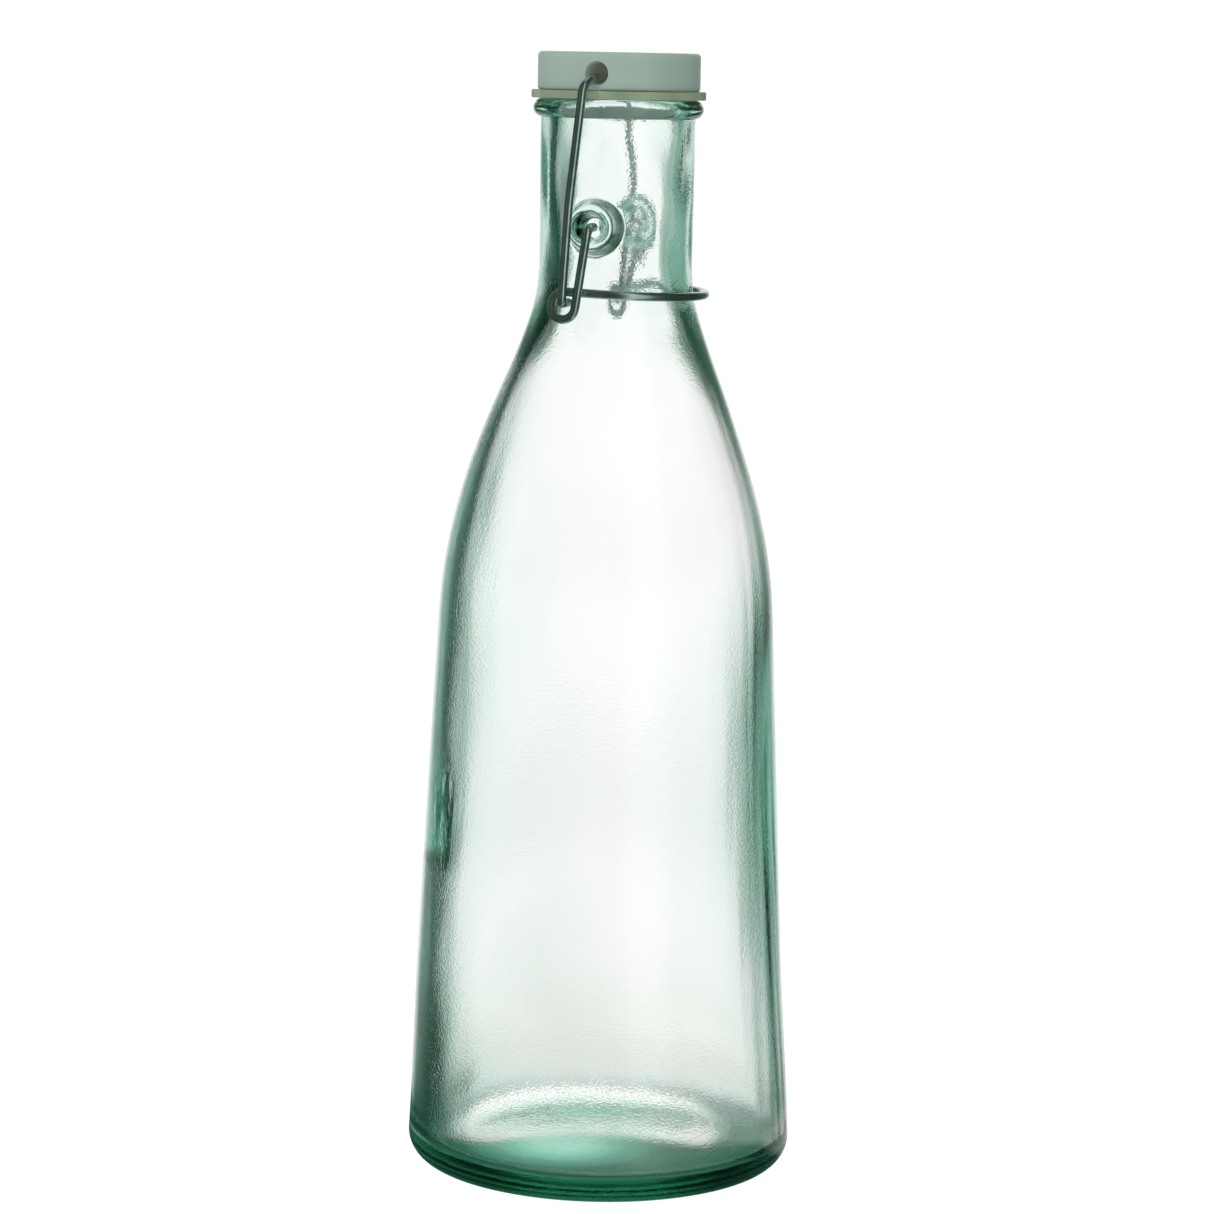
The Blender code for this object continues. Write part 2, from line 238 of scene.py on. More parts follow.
# How much of that light and of the grey is left, from FLOOR_DEPTH in front of the bottle to FLOOR_DEPTH
# behind, and from FLOOR_DEPTH to the left to FLOOR_DEPTH to the right
FLOOR_DEPTH = 0.08
FLOOR_BACK = (
    (0.43, (0, 0, 0)),
    (0.52, (1, 1, 1)),
)
FLOOR_ACROSS = (
    (0.15, (0.04, 0.10, 0.07)),
    (0.21, (1, 1, 1)),
    (0.82, (1, 1, 1)),
    (0.90, (0.62, 0.66, 0.62)),
)
# A lit pool in the shadow
POOL_MIDDLE = (-0.011, -0.002)
POOL_RADIUS = 0.040
POOL = (
    (0.0, (0.03, 0.12, 0.08)),
    (0.25, (0.04, 0.15, 0.10)),
    (0.45, (0.14, 0.38, 0.29)),
    (0.6, (0.34, 0.70, 0.56)),
    (0.72, (0.58, 0.95, 0.80)),
    (0.85, (0.78, 1.10, 0.98)),
)
# Grey around them, darkest in a painted shadow under the foot's ring and with painted light further out, by
# the share of the way in from FLOOR_REACH
FLOOR_REACH = 0.105
AROUND_WITH_FOOT_SHADOW = (
    (0.39, (0.90, 0.85, 0.86)),
    (0.457, (0.50, 0.53, 0.50)),
    (0.514, (0.26, 0.30, 0.27)),
    (0.571, (0.30, 0.34, 0.31)),
)
# Light and shadow on the floor are speckled by this much either way
SPECKLE = 0.09
# How the lit floor gives way to the see-through one, by the same share
FLOOR_EDGE = ((0, 0), (0.25, 1))
# Tints of the see-through floor, by the share of the way in from FLOOR_END, and by a cloudy noise
FLOOR_END = 1.6
FLOOR_FAR = (
    (0.44, (1, 1, 1)),
    (0.69, (0.87, 0.89, 0.88)),
    (0.79, (0.97, 0.97, 0.97)),
    (0.86, (0.98, 0.98, 0.98)),
    (0.90, (0.93, 0.94, 0.92)),
    (0.935, (0.76, 0.78, 0.74)),
)
FLOOR_CLOUD = (
    (0.30, (0.80, 0.87, 0.83)),
    (0.48, (0.98, 0.99, 0.98)),
    (0.70, (1.06, 1.05, 1.05)),
)
# How far the floor goes, and how far it lies below the bottle's foot
FLOOR_RADIUS = 8
FLOOR_GAP = 0.3 * MM

# The walls that surfaces reflect, and then the walls that light what is matt
SHINE_WALLS = (
    (-180, (0.05, 0.06, 0.055)),
    (-110, (0.08, 0.10, 0.09)),
    (-60, (0.04, 0.06, 0.05)),
    (-30, (0.10, 0.14, 0.12)),
    (-14, (1.0, 1.0, 1.0)),
    (14, (1.0, 1.0, 1.0)),
    (30, (0.10, 0.14, 0.12)),
    (60, (0.04, 0.06, 0.05)),
    (128, (0.08, 0.10, 0.09)),
    (146, (1.0, 1.07, 1.04)),
    (154, (1.0, 1.07, 1.04)),
    (172, (0.05, 0.06, 0.055)),
)
MATT_WALLS = (
    (-180, (1.02, 1.10, 1.07)),
    (-90, (0.66, 0.70, 0.69)),
    (0, (0.60, 0.64, 0.62)),
    (60, (0.36, 0.42, 0.38)),
    (120, (0.38, 0.44, 0.40)),
    (180, (1.02, 1.10, 1.07)),
)

# The fold in the left wall: how many millimetres thicker, how far its middle is round from the left and how
# far it reaches from there, the heights where it begins sharply, and its reach up
FOLD_THICKER = 0.65
FOLD_TURN = math.radians(6)
FOLD_WIDTH = math.radians(34)
FOLD_FOOT = (0.079, 0.085)
FOLD_HEIGHT = 0.034
# Its creased patch, darkened by painted shade, where heights count FOLD_SQUEEZE as much as the rest
FOLD_MIDDLE = Matrix.Rotation(CAMERA_AZIMUTH, 3, "Z") @ Vector((-45.2 * MM, -20.5 * MM, 98 * MM))
FOLD_REACH = 11 * MM
FOLD_SQUEEZE = 0.5
FOLD_PAINTED_SHADE = ((0, 1.0), (0.35, (0.42, 0.72, 0.62)), (0.8, (0.06, 0.25, 0.18)))

# Cloudy colours of the other finishes
PLASTIC_CLOUD = ((0.3, (0.43, 0.52, 0.47)), (0.7, (0.48, 0.57, 0.525)))
RUBBER_CLOUD = ((0.3, (0.27, 0.33, 0.22)), (0.7, (0.38, 0.44, 0.31)))
STEEL_STAIN = ((0.35, (0.33, 0.44, 0.40)), (0.7, (0.52, 0.64, 0.58)))
# How strongly the stopper's bore glows with painted light: an emission that stands in for light soaking
# through the plastic
BORE_PAINTED_GLOW = 0.055


# ---------------------------------------------------------------- numbers
def smoothstep(low, high, value):
    t = min(max((value - low) / (high - low), 0.0), 1.0)
    return t * t * (3 - 2 * t)


def bump(middle, half_width, value):
    """1 at middle, falling smoothly to 0 at half_width from it."""
    return 1 - smoothstep(0, half_width, abs(value - middle))


def angle_between(a, b):
    return (a - b + math.pi) % math.tau - math.pi


def arc(centre, radius, start, end, steps):
    """Points on a circle in a radius-height plane, from start to end in degrees."""
    angles = [math.radians(start + (end - start) * i / steps) for i in range(steps + 1)]
    return [(centre[0] + radius * math.cos(a), centre[1] + radius * math.sin(a)) for a in angles]


def full_turn(sides):
    """That many angles, evenly spaced."""
    return [math.tau * i / sides for i in range(sides)]


def smooth(points, steps, first_slope, last_slope):
    """A Hermite curve through (radius, height) points. Slopes are radius per height.

    The slope at an inner point is that of the line between its neighbours.
    """
    slopes = [
        (after[0] - before[0]) / (after[1] - before[1])
        for before, after in zip(points, points[2:])
    ]
    slopes = [first_slope, *slopes, last_slope]
    curve = [points[0]]
    for (r0, z0), (r1, z1), s0, s1 in zip(points, points[1:], slopes, slopes[1:]):
        rise = z1 - z0
        for i in range(1, steps + 1):
            t = i / steps
            r = (
                (2 * t**3 - 3 * t**2 + 1) * r0
                + (t**3 - 2 * t**2 + t) * rise * s0
                + (3 * t**2 - 2 * t**3) * r1
                + (t**3 - t**2) * rise * s1
            )
            curve.append((r, z0 + t * rise))
    return curve


def straight(start, end, steps):
    """Points between start and end, without either."""
    return [
        tuple(a + (b - a) * i / steps for a, b in zip(start, end))
        for i in range(1, steps)
    ]


# ---------------------------------------------------------------- meshes
def add_object(name, mesh):
    obj = bpy.data.objects.new(name, mesh)
    bpy.context.scene.collection.objects.link(obj)
    return obj


def mesh_from(name, shape, finish=None):
    mesh = bpy.data.meshes.new(name)
    bmesh.ops.recalc_face_normals(shape, faces=shape.faces)
    shape.to_mesh(mesh)
    shape.free()
    mesh.shade_smooth()
    mesh.set_sharp_from_angle(angle=SHARP_ANGLE)
    if finish:
        mesh.materials.append(finish)
    return mesh


def ring_surface(shape, rings, closed):
    """Faces over rings of equal length.

    If closed, the last ring joins the first. Otherwise each of those two is closed by a fan to its middle.
    """
    made = [[shape.verts.new(point) for point in ring] for ring in rings]
    pairs = list(zip(made, made[1:]))
    if closed:
        pairs.append((made[-1], made[0]))
    for low, high in pairs:
        for i in range(len(low)):
            j = (i + 1) % len(low)
            shape.faces.new((low[i], low[j], high[j], high[i]))
    if not closed:
        for ring in (made[0], made[-1]):
            middle = sum((v.co for v in ring), Vector()) / len(ring)
            centre = shape.verts.new(middle)
            for i in range(len(ring)):
                shape.faces.new((ring[i], ring[(i + 1) % len(ring)], centre))


def turned(name, outline, sides, finish=None, place=Matrix(), closed=False):
    """A turned solid about Z, with its outline given as radius and height, then moved by place."""
    shape = bmesh.new()
    angles = full_turn(sides)
    rings = [
        [place @ Vector((r * math.cos(a), r * math.sin(a), z)) for a in angles]
        for r, z in outline
    ]
    ring_surface(shape, rings, closed)
    return add_object(name, mesh_from(name, shape, finish))


def box(name, low, high):
    shape = bmesh.new()
    bmesh.ops.create_cube(shape, size=1)
    place = Matrix.Translation((low + high) / 2) @ Matrix.Diagonal((*(high - low), 1))
    bmesh.ops.transform(shape, matrix=place, verts=shape.verts)
    return add_object(name, mesh_from(name, shape))


def combine(obj, other, operation, sharp=SHARP_ANGLE):
    """Joins other to obj or cuts it from obj at once, and removes other."""
    step = obj.modifiers.new("step", "BOOLEAN")
    step.operation = operation
    step.object = other
    step.solver = "EXACT"
    result = bpy.data.meshes.new_from_object(obj.evaluated_get(bpy.context.evaluated_depsgraph_get()))
    obj.modifiers.clear()
    finishes = list(obj.data.materials)
    obj.data = result
    obj.data.materials.clear()
    for finish in finishes:
        obj.data.materials.append(finish)
    for face in result.polygons:
        face.material_index = 0
    result.shade_smooth()
    result.set_sharp_from_angle(angle=sharp)
    bpy.data.objects.remove(other)


# ---------------------------------------------------------------- material helpers
def new_material(name):
    made = bpy.data.materials.new(name)
    made.use_nodes = True
    nodes, links = made.node_tree.nodes, made.node_tree.links
    return made, nodes, links, nodes["Principled BSDF"]


def object_place(nodes):
    return nodes.new("ShaderNodeTexCoord").outputs["Object"]


def stretched_node(nodes, links, place, stretch):
    """The place with each of its coordinates scaled."""
    mapping = nodes.new("ShaderNodeMapping")
    mapping.inputs["Scale"].default_value = stretch
    links.new(place, mapping.inputs["Vector"])
    return mapping.outputs["Vector"]


def noise_node(nodes, links, place, scale, detail, stretch=(1, 1, 1)):
    """Noise from 0 to 1 over the stretched place."""
    texture = nodes.new("ShaderNodeTexNoise")
    texture.inputs["Scale"].default_value = scale
    texture.inputs["Detail"].default_value = detail
    links.new(stretched_node(nodes, links, place, stretch), texture.inputs["Vector"])
    return texture.outputs["Fac"]


def ramp_node(nodes, links, value, stops):
    """A colour ramp. stops are (position, grey or colour)."""
    ramp = nodes.new("ShaderNodeValToRGB")
    ramp.color_ramp.interpolation = "EASE"
    elements = ramp.color_ramp.elements
    while len(elements) < len(stops):
        elements.new(0.5)
    for element, (position, colour) in zip(elements, stops):
        element.position = position
        element.color = (*(colour if isinstance(colour, tuple) else (colour,) * 3), 1)
    links.new(value, ramp.inputs["Fac"])
    return ramp.outputs["Color"]


def range_node(nodes, links, value, low=0, high=1, start=0, end=1, eased=False):
    """Maps start to end onto low to high, and holds what is outside them."""
    node = nodes.new("ShaderNodeMapRange")
    if eased:
        node.interpolation_type = "SMOOTHSTEP"
    node.inputs["From Min"].default_value = start
    node.inputs["From Max"].default_value = end
    node.inputs["To Min"].default_value = low
    node.inputs["To Max"].default_value = high
    links.new(value, node.inputs["Value"])
    return node.outputs["Result"]


def math_node(nodes, links, operation, first, second, kind="ShaderNodeMath"):
    node = nodes.new(kind)
    node.operation = operation
    links.new(first, node.inputs[0])
    links.new(second, node.inputs[1])
    return node.outputs[0]


def colour_math_node(nodes, links, operation, first, second):
    return math_node(nodes, links, operation, first, second, "ShaderNodeVectorMath")


def nearness_node(nodes, links, place, middle, far, near=0, high=1, eased=False):
    """0 where place is at least far from middle, rising to high where it is at most near."""
    away = nodes.new("ShaderNodeVectorMath")
    away.operation = "DISTANCE"
    away.inputs[1].default_value = middle
    links.new(place, away.inputs[0])
    return range_node(nodes, links, away.outputs["Value"], high=high, start=far, end=near, eased=eased)


def mix_node(nodes, links, share, otherwise, there):
    """The shader there where share is 1, and otherwise where it is 0."""
    mix = nodes.new("ShaderNodeMixShader")
    links.new(share, mix.inputs["Fac"])
    links.new(otherwise, mix.inputs[1])
    links.new(there, mix.inputs[2])
    return mix.outputs["Shader"]


def as_camera_sees(nodes, links, vector):
    """The vector with X to the camera's right and Y away from it."""
    turn = nodes.new("ShaderNodeVectorRotate")
    turn.rotation_type = "Z_AXIS"
    turn.inputs["Angle"].default_value = -CAMERA_AZIMUTH
    links.new(vector, turn.inputs["Vector"])
    return turn.outputs["Vector"]


def bump_node(nodes, links, height, strength, distance, under=None):
    """A bump from height, laid over the normal under if there is one."""
    node = nodes.new("ShaderNodeBump")
    node.inputs["Strength"].default_value = strength
    node.inputs["Distance"].default_value = distance
    links.new(height, node.inputs["Height"])
    if under:
        links.new(under, node.inputs["Normal"])
    return node.outputs["Normal"]


# ---------------------------------------------------------------- materials
def glass_material():
    """Sea-green glass. Long waves run down its walls, and a fine grain breaks up what they bend."""
    made, nodes, links, shader = new_material("green_glass")
    shader.inputs["IOR"].default_value = 1.51
    shader.inputs["Transmission Weight"].default_value = 1.0
    place = object_place(nodes)
    # Painted shade: darker glass in the fold of the left wall, mottled
    squeezed = stretched_node(nodes, links, place, (1, 1, FOLD_SQUEEZE))
    middle = FOLD_MIDDLE.copy()
    middle.z *= FOLD_SQUEEZE
    in_fold = nearness_node(nodes, links, squeezed, middle, far=FOLD_REACH, eased=True)
    mottle = noise_node(nodes, links, place, scale=300, detail=4, stretch=(1, 1, 0.3))
    mottle = range_node(nodes, links, mottle, low=-0.9, high=2.3)
    mottled = math_node(nodes, links, "MULTIPLY", in_fold, mottle)
    links.new(ramp_node(nodes, links, mottled, FOLD_PAINTED_SHADE), shader.inputs["Base Color"])
    waves = noise_node(nodes, links, place, scale=60, detail=2, stretch=(1, 1, 0.22))
    grain = noise_node(nodes, links, place, scale=1250, detail=2, stretch=(1, 1, 1.4))
    waved = bump_node(nodes, links, waves, strength=1.0, distance=0.14 * MM)
    grained = bump_node(nodes, links, grain, strength=1.0, distance=0.035 * MM, under=waved)
    creased = bump_node(nodes, links, mottled, strength=1.0, distance=0.30 * MM, under=grained)
    links.new(creased, shader.inputs["Normal"])
    haze = noise_node(nodes, links, place, scale=35, detail=2)
    links.new(range_node(nodes, links, haze, low=0.0, high=0.05), shader.inputs["Roughness"])
    volume = nodes.new("ShaderNodeVolumeAbsorption")
    volume.inputs["Color"].default_value = (0.0, 0.70, 0.50, 1)
    volume.inputs["Density"].default_value = 36
    links.new(volume.outputs["Volume"], nodes["Material Output"].inputs["Volume"])
    return made


def plastic_material():
    made, nodes, links, shader = new_material("milky_plastic")
    place = object_place(nodes)
    cloud = noise_node(nodes, links, place, scale=45, detail=3)
    links.new(ramp_node(nodes, links, cloud, PLASTIC_CLOUD), shader.inputs["Base Color"])
    grain = noise_node(nodes, links, place, scale=900, detail=2)
    links.new(range_node(nodes, links, grain, low=0.30, high=0.46), shader.inputs["Roughness"])
    links.new(bump_node(nodes, links, grain, strength=0.12, distance=0.05 * MM), shader.inputs["Normal"])
    shader.inputs["IOR"].default_value = 1.49
    shader.inputs["Subsurface Weight"].default_value = 0.6
    shader.inputs["Subsurface Radius"].default_value = (1.0, 1.0, 1.0)
    shader.inputs["Subsurface Scale"].default_value = 3 * MM
    # A painted glow, an emission that stands in for light soaking through the plastic into the cross bore:
    # near to the line through its middle, along Y
    off_line = stretched_node(nodes, links, place, (1, 0, 1))
    painted_glow = nearness_node(
        nodes, links, off_line, (0, 0, BORE_HEIGHT), far=BORE_RADIUS * 1.05, near=BORE_RADIUS, high=BORE_PAINTED_GLOW
    )
    links.new(painted_glow, shader.inputs["Emission Strength"])
    shader.inputs["Emission Color"].default_value = (0.86, 0.80, 0.55, 1)
    return made


def rubber_material():
    made, nodes, links, shader = new_material("pale_rubber")
    place = object_place(nodes)
    cloud = noise_node(nodes, links, place, scale=120, detail=4)
    links.new(ramp_node(nodes, links, cloud, RUBBER_CLOUD), shader.inputs["Base Color"])
    grain = noise_node(nodes, links, place, scale=1400, detail=2)
    links.new(range_node(nodes, links, grain, low=0.48, high=0.66), shader.inputs["Roughness"])
    links.new(bump_node(nodes, links, grain, strength=0.2, distance=0.05 * MM), shader.inputs["Normal"])
    shader.inputs["Subsurface Weight"].default_value = 0.25
    shader.inputs["Subsurface Scale"].default_value = 1.5 * MM
    return made


def steel_material():
    """Drawn wire: fine lines run along it, on the mesh's UVs, with u along its length and v round it."""
    made, nodes, links, shader = new_material("drawn_wire")
    shader.inputs["Metallic"].default_value = 1.0
    lines_at = nodes.new("ShaderNodeUVMap")
    lines_at.uv_map = "along_wire"
    lines = noise_node(nodes, links, lines_at.outputs["UV"], scale=1, detail=3, stretch=(6, 14, 1))
    stain = noise_node(nodes, links, object_place(nodes), scale=160, detail=4)
    links.new(ramp_node(nodes, links, stain, STEEL_STAIN), shader.inputs["Base Color"])
    links.new(range_node(nodes, links, lines, low=0.14, high=0.30), shader.inputs["Roughness"])
    links.new(bump_node(nodes, links, lines, strength=0.25, distance=0.03 * MM), shader.inputs["Normal"])
    return made


# ---------------------------------------------------------------- bottle
def wall_at(z):
    return WALL + (NECK_WALL - WALL) * smoothstep(*WALL_THICKENS, z)


def centre_shift(z):
    """How far the bottle's middle is to the camera's right of the neck's axis at that height."""
    return BODY_SHIFT * smoothstep(*SHIFT_BEGINS, z) * (1 - smoothstep(*SHIFT_ENDS, z))


def wall_excess(angle, z):
    """How much thicker than drawn the glass is at that angle and height: the mould filled unevenly."""
    left = angle_between(angle, VIEW_LEFT_ANGLE)
    right = angle_between(angle, VIEW_LEFT_ANGLE + math.pi)
    around = Vector((math.cos(angle), math.sin(angle), 0))
    body = 1 - smoothstep(*BODY_ENDS, z)
    neck = smoothstep(*NECK_BEGINS, z)

    def right_patch(amount, reach, height, rise):
        return amount * bump(0, math.radians(reach), right) * bump(height, rise, z)

    def noise_at(rates, start=(0, 0, 0)):
        return noise.noise(around * rates[0] + Vector((start[0], start[1], start[2] + z * rates[1])))

    left_thicker = LEFT_THICKER + LEFT_FOOT_THICKER * bump(0, LEFT_FOOT_HEIGHT, z)
    heavy = left_thicker * bump(0, LEFT_REACH, left) * body
    heavy += right_patch(*RIGHT_THICK_PATCH)
    heavy += right_patch(*RIGHT_THIN_PATCH)
    fold = FOLD_THICKER * bump(FOLD_TURN, FOLD_WIDTH, left)
    heavy += fold * smoothstep(*FOLD_FOOT, z) * bump(FOLD_FOOT[1], FOLD_HEIGHT, z)
    heavy += LEFT_NECK_THICKER * bump(0, LEFT_NECK_REACH, left) * neck
    heavy += right_patch(*RIPPLE_PATCH) * math.sin(math.tau * z / RIPPLE_LENGTH)
    heavy += STREAKS * (noise_at(STREAK_RATES) * bump(0, STREAK_REACH, right) * body)
    heavy += WAVES * noise_at(WAVE_RATES)
    heavy += FINE_WAVES * noise_at(FINE_WAVE_RATES, (0, 0, 9)) * body
    heavy += NECK_WAVES * noise_at(NECK_WAVE_RATES, (3, 5, 0)) * neck
    return heavy * MM


def bottle_outline():
    """The inner line from the base's middle up, the lip, and the outer line down to the foot's middle."""
    taper = (SHOULDER[0][0] - BODY_RADIUS) / (SHOULDER[0][1] - HEEL_ROUND)
    shoulder = smooth(SHOULDER, steps=8, first_slope=taper, last_slope=0.0)
    inside_base = PUSH_UP + BASE_THICKNESS
    inner_foot = BODY_RADIUS - WALL - INSIDE_CORNER
    floor = straight((0, inside_base), (inner_foot, inside_base), steps=16)
    corner = arc((inner_foot, inside_base + INSIDE_CORNER), INSIDE_CORNER, -90, 0, steps=10)
    inner_shoulder = [(r - wall_at(z), z) for r, z in shoulder]
    mouth = NECK_RADIUS - NECK_WALL
    inner_body = straight(corner[-1], inner_shoulder[0], steps=64)
    lip_centre = (mouth + LIP_ROUND, RIM_HEIGHT - LIP_ROUND)
    inner_neck = straight(inner_shoulder[-1], (mouth, lip_centre[1]), steps=14)
    inner = [*floor, *corner, *inner_body, *inner_shoulder, *inner_neck]
    lip = arc(lip_centre, LIP_ROUND, 180, 90, steps=6)
    bead_centre = (NECK_RADIUS - BEAD_INSET, RIM_HEIGHT - BEAD_ROUND)
    bead = arc(bead_centre, BEAD_ROUND, 90, BEAD_END_ANGLE, steps=16)
    neck = straight(bead[-1], shoulder[-1], steps=14)
    heel = arc((BODY_RADIUS - HEEL_ROUND, HEEL_ROUND), HEEL_ROUND, HEEL_TOP_ANGLE, -90, steps=12)
    body = straight(shoulder[0], heel[0], steps=32)
    foot_inner = BODY_RADIUS - HEEL_ROUND - FOOT_WIDTH
    hollow_steps = 12
    shares = [1 - i / hollow_steps for i in range(hollow_steps)]
    hollow = [(foot_inner * share, PUSH_UP * (1 - share**2)) for share in shares]
    outer = [*bead, *neck, *shoulder[::-1], *body, *heel, *hollow]
    return inner, lip, outer


def make_bottle(finish):
    inner, lip, outer = bottle_outline()
    angles = full_turn(BOTTLE_SIDES)

    def level_ring(z, radii):
        """A ring with a radius for each of the angles, shifted as the bottle is at that height."""
        shift = VIEW_RIGHT * centre_shift(z)
        return [Vector((r * math.cos(a), r * math.sin(a), z)) + shift for r, a in zip(radii, angles)]

    rings = []
    for r, z in inner:
        fade = smoothstep(0, FADE_TO_RIM, RIM_HEIGHT - z) * smoothstep(0, FADE_TO_MIDDLE, r)
        rings.append(level_ring(z, [r - wall_excess(a, z) * fade for a in angles]))
    rings += [level_ring(z, [r] * BOTTLE_SIDES) for r, z in [*lip, *outer]]
    shape = bmesh.new()
    ring_surface(shape, rings, closed=False)
    bottle = add_object("glass_bottle", mesh_from("glass_bottle", shape, finish))
    for side in (-1, 1):
        combine(bottle, make_boss(side), "UNION")
        combine(bottle, make_socket(side), "DIFFERENCE")
    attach(bottle, "bottle")
    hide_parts("bottle")


def along_y(side):
    """Turns a shape that points up +Z to point along -Y or +Y at the height of the lever's pivot."""
    return Matrix.Translation((0, 0, LEVER_PIVOT.z)) @ Matrix.Rotation(-side * math.pi / 2, 4, "X")


def make_boss(side):
    """A round boss whose foot spreads out onto the curved neck and whose face has a rounded edge."""
    rise = BOSS_FACE - NECK_RADIUS
    foot_round, edge_round = 1.3 * MM, 1.2 * MM
    root, foot_depth, foot_sunk = 2.0 * MM, 0.25 * MM, 0.2 * MM
    draft_angle = 8
    foot_radius = BOSS_ROOT_RADIUS + foot_round
    outline = [
        (foot_radius, -root),
        (foot_radius, -foot_depth),
        *arc((foot_radius, foot_round - foot_sunk), foot_round, -90, -180, steps=6)[1:],
        *arc((BOSS_FACE_RADIUS - edge_round, rise - edge_round), edge_round, draft_angle, 90, steps=6),
    ]
    shape = bmesh.new()
    rings = []
    for r, height in outline:
        # The foot follows the round neck, and the face is flat
        level = smoothstep(0, rise, height)
        ring = []
        for a in full_turn(BOSS_SIDES):
            x = r * math.cos(a)
            neck = math.sqrt(NECK_RADIUS**2 - x**2)
            base = neck + (NECK_RADIUS - neck) * level
            ring.append(along_y(side) @ Vector((x, r * math.sin(a), base + height)))
        rings.append(ring)
    ring_surface(shape, rings, closed=False)
    return add_object("boss", mesh_from("boss", shape))


def make_socket(side):
    """What is hollowed out of a boss: a cone with a rounded end and an eased mouth."""
    ease = 0.7 * MM
    bottom = BOSS_FACE - SOCKET_DEPTH
    outline = [
        *arc((SOCKET_END_RADIUS - ease, bottom + ease), ease, -90, 0, steps=4),
        (SOCKET_MOUTH_RADIUS - 0.3 * MM, BOSS_FACE - ease),
        (SOCKET_MOUTH_RADIUS, BOSS_FACE - 0.25 * MM),
        (SOCKET_MOUTH_RADIUS + 0.35 * MM, BOSS_FACE + 0.05 * MM),
        (SOCKET_MOUTH_RADIUS + 0.8 * MM, BOSS_FACE + 1.0 * MM),
    ]
    return turned("socket", outline, SOCKET_SIDES, place=along_y(side))


# ---------------------------------------------------------------- stopper and gasket
def make_stopper(finish):
    """A drum with a cross bore, over a spigot with a lip that goes into the mouth."""
    edge_round, foot_round = 1.2 * MM, 0.8 * MM
    spigot, lip = GASKET_HOLE_RADIUS - 0.3 * MM, 14.6 * MM
    lip_edge, lip_taper = 0.2 * MM, 0.6 * MM
    lip_top = GASKET_LOW[2] - 0.3 * MM
    lip_bottom = CAP_LOW[2]
    outline = [
        *straight((0, CAP_TOP), (CAP_RADIUS - edge_round, CAP_TOP), steps=6),
        *arc((CAP_RADIUS - edge_round, CAP_TOP - edge_round), edge_round, 90, 0, steps=8),
        *arc((CAP_RADIUS - foot_round, CAP_UNDERSIDE + foot_round), foot_round, 0, -90, steps=6),
        (spigot, CAP_UNDERSIDE),
        (spigot, lip_top),
        (lip - lip_edge, lip_top),
        (lip, lip_top - lip_edge),
        (lip - lip_taper, lip_bottom),
        *straight((lip - lip_taper, lip_bottom), (0, lip_bottom), steps=4),
    ]
    cap = turned("milky_stopper", outline, CAP_SIDES, finish)
    flare, flare_end, past = 0.5 * MM, 0.3 * MM, 1.0 * MM
    half = [
        (BORE_RADIUS, 0),
        (BORE_RADIUS, CAP_RADIUS - flare - flare_end),
        (BORE_RADIUS + flare * 0.4, CAP_RADIUS - flare_end),
        (BORE_RADIUS + flare * 1.6, CAP_RADIUS + past),
    ]
    bore_outline = [(r, -z) for r, z in half[:0:-1]] + half
    across = Matrix.Translation((0, 0, BORE_HEIGHT)) @ Matrix.Rotation(math.pi / 2, 4, "X")
    combine(cap, turned("bore", bore_outline, BORE_SIDES, place=across), "DIFFERENCE", CUT_SHARP_ANGLE)
    for side in (-1, 1):
        # A rounded groove from the bore down to the stopper's foot
        groove_outline = [(GROOVE_RADIUS, -6 * MM), (GROOVE_RADIUS, 1 * MM)]
        place = Matrix.Translation((0, side * (CAP_RADIUS + 0.7 * MM), BORE_HEIGHT - 3 * MM))
        groove = turned("groove", groove_outline, GROOVE_SIDES, place=place)
        combine(cap, groove, "DIFFERENCE", CUT_SHARP_ANGLE)
    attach(cap, "stopper")
    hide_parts("stopper_cap")


def make_gasket(finish):
    """A flat ring between the mouth and the stopper, with a notch by each of the bail's sides."""
    low, high = RIM_HEIGHT + 0.05 * MM, CAP_UNDERSIDE - 0.03 * MM
    ease = 0.3 * MM
    outer, inner = GASKET_RADIUS - ease, GASKET_HOLE_RADIUS + ease
    outline = [
        *arc((outer, high - ease), ease, 90, 0, steps=4),
        *arc((outer, low + ease), ease, 0, -90, steps=4),
        *arc((inner, low + ease), ease, -90, -180, steps=4),
        *arc((inner, high - ease), ease, 180, 90, steps=4),
    ]
    gasket = turned("rubber_gasket", outline, GASKET_SIDES, finish, closed=True)
    half, past = NOTCH_WIDTH / 2, 1 * MM
    for side in (-1, 1):
        reach = sorted((side * (GASKET_RADIUS - NOTCH_DEPTH), side * (GASKET_RADIUS + past)))
        notch = box(
            "notch",
            Vector((NOTCH_MIDDLE - half, reach[0], low - past)),
            Vector((NOTCH_MIDDLE + half, reach[1], high + past)),
        )
        combine(gasket, notch, "DIFFERENCE", CUT_SHARP_ANGLE)
    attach(gasket, "stopper")
    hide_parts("gasket")


# ---------------------------------------------------------------- wires
def bend(before, corner, after, radius, steps=10):
    """Points that round the corner between two straight runs with an arc of that radius."""
    to_before = (before - corner).normalized()
    to_after = (after - corner).normalized()
    half = to_before.angle(to_after) / 2
    middle = corner + (to_before + to_after).normalized() * radius / math.sin(half)
    start = corner + to_before * radius / math.tan(half) - middle
    end = corner + to_after * radius / math.tan(half) - middle
    sweep = start.angle(end)
    axis = start.cross(end).normalized()
    return [middle + Matrix.Rotation(sweep * i / steps, 3, axis) @ start for i in range(steps + 1)]


def mirrored(half):
    """A whole wire from the half on the -Y side: the other half is its mirror image, joined in the middle."""
    other = [Vector((p.x, -p.y, p.z)) for p in reversed(half)]
    shared = (half[-1] - other[0]).length < 0.1 * MM
    return half + other[1 if shared else 0:]


